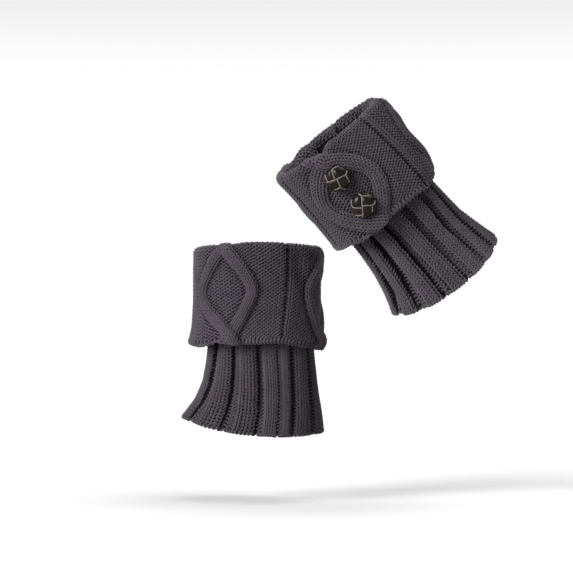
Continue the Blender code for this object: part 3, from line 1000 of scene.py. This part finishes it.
def ground_piece(leg, cuff, material):
    """Purl stitches between the cables, with one plain knitted wale in each gap."""
    courses = int(cuff.courses - FIRST_COURSE - LOOP_RISE) + 1
    signs = np.ones((courses, CUFF_WALES))
    signs[:, LINE_WALE::REPEAT_WALES] = -1
    across, up, out = knit_path(signs, FIRST_COURSE, SHOWN.segments, True)
    away = (across - LINE_WALE + REPEAT_WALES / 2) % REPEAT_WALES - REPEAT_WALES / 2
    for edge, part in LINE_EDGES:
        beside = away - edge
        aside = np.tanh(beside / LINE_EASING) * np.exp(-np.abs(beside) / LINE_FADE)
        across = across + part * LINE_GAP / 2 * aside
        out = out - part * LINE_DEPTH * bell(beside, LINE_SPREAD)
    rounds = diamond_rounds(leg)[0] + across / CUFF_WALES
    near, half = strand_distance(leg, rounds, up * course_height(leg)), leg.cable.width / 2
    out = out - GROOVE * bell(near - half - GROOVE_AWAY, GROOVE_SPREAD)
    kept = near > GROUND_ENDS * half
    making = Making(courses)
    making.knit(cuff, rounds, up, out, loose_radius(up.shape), SHOWN.sides,
                kept & np.roll(kept, -1, axis=1))
    return making.piece(leg.name + "_cuff_purl_ground", material, "cable_knit", leg.place)


def cable_pieces(leg, cuff, material):
    """The knitted strands of the diamonds, and the backs inside them, near-black as painted shade
    between the strands' yarns.
    """
    strands = [strand_cloth(leg, cuff, middle, side)
               for middle in diamond_rounds(leg) for side in (-1, 1)]
    many = sum(strand.courses for strand in strands)
    knitted = Making(-(-many // CABLE_CELLS), CABLE_CELLS)
    backs = Making(1, len(strands))
    for strand in strands:
        signs = -np.ones((strand.courses - 1, STRAND_WALES))
        across, up, out = knit_path(signs, FIRST_STRAND_COURSE, SHOWN.segments, False, CABLE_KNIT)
        knitted.knit(strand, across / STRAND_WALES, up, out, loose_radius(up.shape), SHOWN.sides)
        outer, inner = (strand.net(BACK_COLUMNS, np.arange(strand.courses + 1), out)
                        for out in BACK_DEPTHS)
        backs.add_skin(np.concatenate((outer, inner[:, ::-1]), axis=1), False)
    return (knitted.piece(leg.name + "_cable_strands", material, "cable_knit", leg.place),
            backs.piece(leg.name + "_cable_shade_backs", SHADE_BACKING_FINISH, "cable_knit", leg.place))


def rib_place(leg, across):
    """How far round the tube a number of wales from the first rib's edge is."""
    edges = rib_edges(leg)
    places = [edges[rib] + place * (edges[rib + 1] - edges[rib])
              for rib in range(RIB_COUNT) for place in leg.rib_form.knit + leg.rib_form.purl]
    places = np.array([places[-1] - 1.0] + places + [places[0] + 1.0])
    return np.interp(across, np.arange(len(places)) - 0.5, places)


def rib_piece(leg, tube, name, first, courses, detail, material):
    """Courses of the ribs: three knitted wales raised, then two purled ones sunk."""
    form = leg.rib_form
    signs = np.tile([-1.0] * len(form.knit) + [1.0] * len(form.purl), (courses, RIB_COUNT))
    across, up, out = knit_path(signs, first, detail.segments, True, RIB_KNIT)
    rounds = rib_place(leg, across)
    # drawing the yarn in leaves the dark backing as painted shade in the creases
    out = out - CREASE_HIDES * rib_creases(leg, rounds)
    making = Making(courses)
    making.knit(tube, rounds, up, out, loose_radius(up.shape, RIB_YARN), detail.sides)
    return making.piece(leg.name + name, material, "ribbed_knit", leg.place)


# A yarn wound over an edge, in mm: how high its middle lies, how far it goes up, down, out and in,
# and how far its loops lean and swing along the edge, as an angle of the winding
Binding = namedtuple("Binding", "loops lift half_height half_depth radius lean swing")
CUFF_BINDING = Binding(loops=78, lift=2.8, half_height=1.8, half_depth=0.6, radius=1.05,
                       lean=0.2, swing=-1.5)
HEM_BINDING = Binding(loops=140, lift=1.5, half_height=0.9, half_depth=0.7, radius=0.95,
                      lean=0.4, swing=0.0)
BINDING_SEGMENTS = 12
BINDING_VARIES = 0.08
BINDING_TOP = 1.5         # the course that it stands up towards


def binding_piece(leg, name, cloth, binding, place, material, slot):
    """A yarn wound over and over a cloth's lower edge."""
    phase = 2 * pi * np.arange(binding.loops * BINDING_SEGMENTS) / BINDING_SEGMENTS
    rounds = place((phase + binding.lean * np.cos(phase) + binding.swing * np.sin(phase)) / (2 * pi))
    base, top = cloth.net(rounds, (0.0, BINDING_TOP), 0.0)
    upward = unit(top - base)
    outward = cloth.facing(rounds, np.zeros(len(rounds)))
    uneven = 1 + BINDING_VARIES * np.repeat(rng.normal(0.0, 1.0, binding.loops), BINDING_SEGMENTS)
    lift = binding.lift + binding.half_height * uneven * np.cos(phase)
    out = binding.half_depth * uneven * np.sin(phase)
    centres = base + upward * (lift * MM)[:, None] + outward * (out * MM)[:, None]
    middle = base + upward * binding.lift * MM
    making = Making(1)
    making.add_yarns(centres[None], unit(centres - middle)[None], binding.radius * MM, SHOWN.sides, True)
    return making.piece(leg.name + name, material, slot, leg.place)


Backing = namedtuple("Backing", "columns rows low")
CUFF_BACKING = Backing(columns=120, rows=34, low=0.8)  # it starts at that course
TUBE_BACKING = Backing(columns=140, rows=36, low=0.5)


def backing_piece(leg, name, cloth, backing, slot):
    """A thin closed skin through the middle of a cloth, near-black as painted shade where it shows
    between the yarns.
    """
    across = np.arange(backing.columns) / backing.columns
    up = np.linspace(backing.low, cloth.courses, backing.rows)
    outer, inner = (cloth.net(across, up, out) for out in (SKIN, -SKIN))
    making = Making(1)
    making.add_skin(np.concatenate((outer, inner[::-1])), True)
    return making.piece(leg.name + name, SHADE_BACKING_FINISH, slot, leg.place)


# ---- buttons -------------------------------------------------------------------------------

# The seams between a button's leather panels, in radii right and up from its middle
SEAMS = (
    ((-0.40, 0.88), (-0.095, 0.745), (-0.08, 0.40), (-0.035, -0.035), (-0.01, -0.47), (0.02, -0.71),
     (-0.02, -0.93)),
    ((0.02, -0.73), (-0.30, -0.80), (-0.56, -0.79)),
    ((-0.095, 0.71), (0.20, 0.75), (0.51, 0.78)),
    ((-0.03, 0.0), (0.35, 0.03), (0.69, 0.03), (0.875, 0.14), (0.90, 0.38)),
    ((0.685, 0.0), (0.715, -0.24), (0.72, -0.50)),
    ((-0.04, -0.17), (-0.45, -0.19), (-0.79, -0.17), (-0.90, 0.10), (-0.87, 0.42)),
)
SEAM_STEPS = 14
SEAM_EASING = 0.07        # radii over which a seam's corners are rounded
SEAM_RADIUS = 0.56 * MM
SEAM_SIDES = 8
SEAM_SINK = 0.15 * MM
PANEL_PUFF = 0.8 * MM
PANEL_EDGE = 0.15         # radii from a seam over which a panel swells
PANEL_RIM = 0.25          # radii from the rim over which the swelling ends
# The underside from its middle out, in radii and in metres above where it stands off the cuff
UNDERSIDE = ((0.12, 0.3 * MM), (0.60, 0.1 * MM), (0.90, 0.0), (0.97, 0.25 * MM), (1.0, 0.8 * MM))
BUTTON_SIDES = 72
DOME_RINGS = 20
THREAD_RADIUS = 0.28 * SHANK_RADIUS
THREAD_TURNS = 5
THREAD_SEGMENTS = 12      # steps of a turn
THREAD_SIDES = 6
THREAD_HEIGHTS = (0.4 * MM, 2.5 * MM)
ROUND_STEP = 0.01         # how far each way the cuff's slope under a button is taken
HEIGHT_STEP = 2.0         # the same up and down, in mm


def cuff_point(leg, away, height):
    """A point on the cuff's outer face, at a fraction of the way round and a height in mm."""
    level = height * MM / (leg.rim.side * MM - FOLD_RADIUS)
    levels, *columns = zip(*leg.cuff)
    half_width, half_depth, shift, _ = (np.interp(level, levels, column) * MM for column in columns)
    x, y, _ = oval(half_width, half_depth, shift, [away])
    return Vector((x[0], y[0], height * MM))


def button_place(leg, button):
    """From a button's own frame, its face towards +Z, to the leg's."""
    height = button.height
    away = diamond_rounds(leg)[leg.buttoned_diamond] + button.shift / perimeter(leg.cuff[-1])
    across = cuff_point(leg, away + ROUND_STEP, height) - cuff_point(leg, away - ROUND_STEP, height)
    upward = cuff_point(leg, away, height + HEIGHT_STEP) - cuff_point(leg, away, height - HEIGHT_STEP)
    outward = across.cross(upward).normalized()
    up = (Vector((0.0, 0.0, 1.0)) - outward * outward.z).normalized()
    turn = Matrix((up.cross(outward), up, outward)).transposed().to_4x4()
    return (Matrix.Translation(cuff_point(leg, away, height)) @ turn
            @ Matrix.Rotation(radians(button.roll), 4, "Z"))


def seam_lines():
    """Each seam as evenly spaced points x and y with rounded corners."""
    for seam in SEAMS:
        corners = tuple(zip(*seam))
        length = path_length(*corners)
        near = (np.linspace(0.0, length[-1], SEAM_STEPS)[:, None]
                + SEAM_EASING * np.array((-1.0, -0.5, 0.0, 0.5, 1.0)))
        yield [np.interp(near, length, places).mean(axis=1) for places in corners]


def dome_height(x, y):
    """Height of the dome over places in radii from its middle."""
    return (BUTTON_STANDOFF + BUTTON_RIM
            + BUTTON_DOME * np.sqrt(np.clip(1.0 - x ** 2 - y ** 2, 0.0, 1.0)))


def panelled_height(x, y):
    """Height of the leather: panels swell between the seams."""
    seam_x, seam_y = np.concatenate(list(seam_lines()), axis=1)
    gap = np.min(np.hypot(x[..., None] - seam_x, y[..., None] - seam_y), axis=-1)
    swell = PANEL_PUFF * (1 - bell(gap, PANEL_EDGE)) - 0.5 * PANEL_PUFF
    return dome_height(x, y) + swell * np.clip((1.0 - np.hypot(x, y)) / PANEL_RIM, 0.0, 1.0)


def on_button(x, y, heights):
    """Points from places in radii from a button's middle and heights in metres."""
    return np.stack(np.broadcast_arrays(x * BUTTON_RADIUS, y * BUTTON_RADIUS, heights), axis=-1)


def button_pieces(name, matrix):
    """The leather dome, the piping in its seams and the thread that holds it."""
    turn = 2 * pi * np.arange(BUTTON_SIDES) / BUTTON_SIDES
    rings = [on_button(reach * np.cos(turn), reach * np.sin(turn), BUTTON_STANDOFF + height)
             for reach, height in UNDERSIDE]
    for bend in np.linspace(0.0, 0.5 * pi, DOME_RINGS, endpoint=False):
        x, y = cos(bend) * np.cos(turn), cos(bend) * np.sin(turn)
        rings.append(on_button(x, y, panelled_height(x, y)))
    dome = Making(1)
    dome.add_skin(np.stack(rings), False)

    seams = Making(len(SEAMS))
    for x, y in seam_lines():
        centres = on_button(x, y, dome_height(x, y) - SEAM_SINK)
        outward = np.stack((x * BUTTON_DOME / BUTTON_RADIUS, y * BUTTON_DOME / BUTTON_RADIUS,
                            np.sqrt(np.clip(1.0 - x ** 2 - y ** 2, 0.05, 1.0))), axis=1)
        seams.add_yarns(centres[None], unit(outward)[None], SEAM_RADIUS, SEAM_SIDES, False)

    wound = np.linspace(0.0, 1.0, THREAD_TURNS * THREAD_SEGMENTS + 1)
    phase = 2 * pi * THREAD_TURNS * wound
    outward = np.stack((np.cos(phase), np.sin(phase), 0.0 * phase), axis=1)
    centres = outward * (SHANK_RADIUS - THREAD_RADIUS)
    centres[:, 2] = np.interp(wound, (0.0, 1.0), THREAD_HEIGHTS)
    shank = Making(1)
    shank.add_yarns(centres[None], outward[None], THREAD_RADIUS, THREAD_SIDES, False)
    return (dome.piece(name + "_leather_dome", LEATHER_FINISH, "button", matrix),
            seams.piece(name + "_seam_piping", PIPING_FINISH, "button", matrix),
            shank.piece(name + "_thread_shank", THREAD_FINISH, "button", matrix))


# ---- the pair ------------------------------------------------------------------------------

def leg_warmer(leg):
    """One leg warmer: its cuff, its ribbed tube and its two buttons."""
    cuff, tube = cuff_cloth(leg), tube_cloth(leg)
    name, form = leg.name, leg.rib_form
    ground_yarn = yarn_finish(name + " cuff ground yarn", CUFF_WALES, cuff.courses - 2)
    cable_yarn = yarn_finish(name + " cable yarn", CABLE_CELLS * STRAND_WALES, CABLE_ROWS)
    rib_yarn = yarn_finish(name + " rib yarn", RIB_COUNT * len(form.knit + form.purl), leg.rib_courses)
    edge_yarn = yarn_finish(name + " edge yarn", CUFF_BINDING.loops, 1)

    ground = ground_piece(leg, cuff, ground_yarn)
    cables, backs = cable_pieces(leg, cuff, cable_yarn)
    first = diamond_rounds(leg)[0]
    bound_off = binding_piece(leg, "_bound_off_edge", cuff, CUFF_BINDING,
                              lambda loops: first + loops / CUFF_BINDING.loops,
                              edge_yarn, "cable_knit")
    # the cuff's backing skin, near-black as painted shade between the yarns
    cuff_back = backing_piece(leg, "_cuff_shade_backing", cuff, CUFF_BACKING, "cable_knit")
    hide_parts(name + "_cable_cuff")

    ribs = rib_piece(leg, tube, "_rib_stitches", FIRST_RIB_COURSE, leg.rib_courses, SHOWN, rib_yarn)
    inner = rib_piece(leg, tube, "_inner_rib_stitches", FIRST_RIB_COURSE + leg.rib_courses,
                      leg.inner_courses - 2, INSIDE, rib_yarn)
    cast_on = binding_piece(leg, "_cast_on_edge", tube, HEM_BINDING,
                            lambda loops: rib_place(leg, loops / 2), edge_yarn, "ribbed_knit")
    # the tube's backing skin, near-black as painted shade between the yarns
    tube_back = backing_piece(leg, "_tube_shade_backing", tube, TUBE_BACKING, "ribbed_knit")
    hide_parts(name + "_ribbed_tube")

    for button in leg.buttons:
        node = name + "_" + button.name + "_button"
        dome, _, _ = button_pieces(node, leg.place @ button_place(leg, button))
        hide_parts(node)


leg_warmer(RIGHT)
leg_warmer(LEFT)


# ---- floor, light and camera ---------------------------------------------------------------

FLOOR = -0.129            # level of the soles that the pair was worn over
FLOOR_REACH = 60.0
CAMERA_PLACE = Vector((0.02457, -2.0, 0.04873))
CAMERA_LENS = 150.8
SKY = ((0.0, 1.0), (0.09, 1.0), (0.22, 0.35), (1.0, 0.25))  # height and brightness


def floor_finish():
    finish = Finish("pale studio floor", Specular_IOR_Level=0.1)
    soft = finish.noise(finish.place(), 3.0, 2.0, 0.5)
    return finish.wear(Base_Color=finish.mix(soft, rgb(196, 196, 196), rgb(199, 199, 199)),
                       Roughness=0.9 + soft * 0.05)


def studio_floor():
    mesh = bpy.data.meshes.new("studio_floor")
    square = ((-1, -1), (1, -1), (1, 1), (-1, 1))
    mesh.from_pydata([(x * FLOOR_REACH, y * FLOOR_REACH, FLOOR) for x, y in square], [],
                     [(0, 1, 2, 3)])
    mesh.materials.append(floor_finish())
    put("studio_floor", mesh)


def wide_light(name, place, spread, strength):
    """Even soft light over the whole floor, from the way that place lies in."""
    light = bpy.data.lights.new(name, "SUN")
    light.angle = radians(spread)
    light.energy = strength
    lamp = put(name, light)
    lamp.location = place
    lamp.rotation_euler = (-Vector(place)).to_track_quat("-Z", "Y").to_euler()


def pale_sky():
    """White near the horizon, dimmer overhead."""
    world = bpy.data.worlds.new("pale studio")
    world.use_nodes = True
    nodes, links = world.node_tree.nodes, world.node_tree.links
    place = nodes.new("ShaderNodeTexCoord")
    split = nodes.new("ShaderNodeSeparateXYZ")
    ramp = nodes.new("ShaderNodeValToRGB")
    while len(ramp.color_ramp.elements) < len(SKY):
        ramp.color_ramp.elements.new(0.5)
    for element, (height, brightness) in zip(ramp.color_ramp.elements, SKY):
        element.position = height
        element.color = (brightness, brightness, brightness, 1.0)
    links.new(place.outputs["Generated"], split.inputs[0])
    links.new(split.outputs["Z"], ramp.inputs[0])
    links.new(ramp.outputs["Color"], nodes["Background"].inputs["Color"])
    bpy.context.scene.world = world


def studio():
    pale_sky()
    studio_floor()
    wide_light("key_light", place=(-1.8, -1.4, 0.9), spread=35.0, strength=7.0)
    wide_light("top_light", place=(0.8, -0.3, 2.4), spread=50.0, strength=2.7)
    lens = bpy.data.cameras.new("camera")
    lens.lens = CAMERA_LENS
    camera = put("camera", lens)
    camera.location = CAMERA_PLACE
    camera.rotation_euler = (radians(90.0), 0.0, 0.0)
    bpy.context.scene.camera = camera
    bpy.context.scene.view_settings.view_transform = "Standard"


studio()
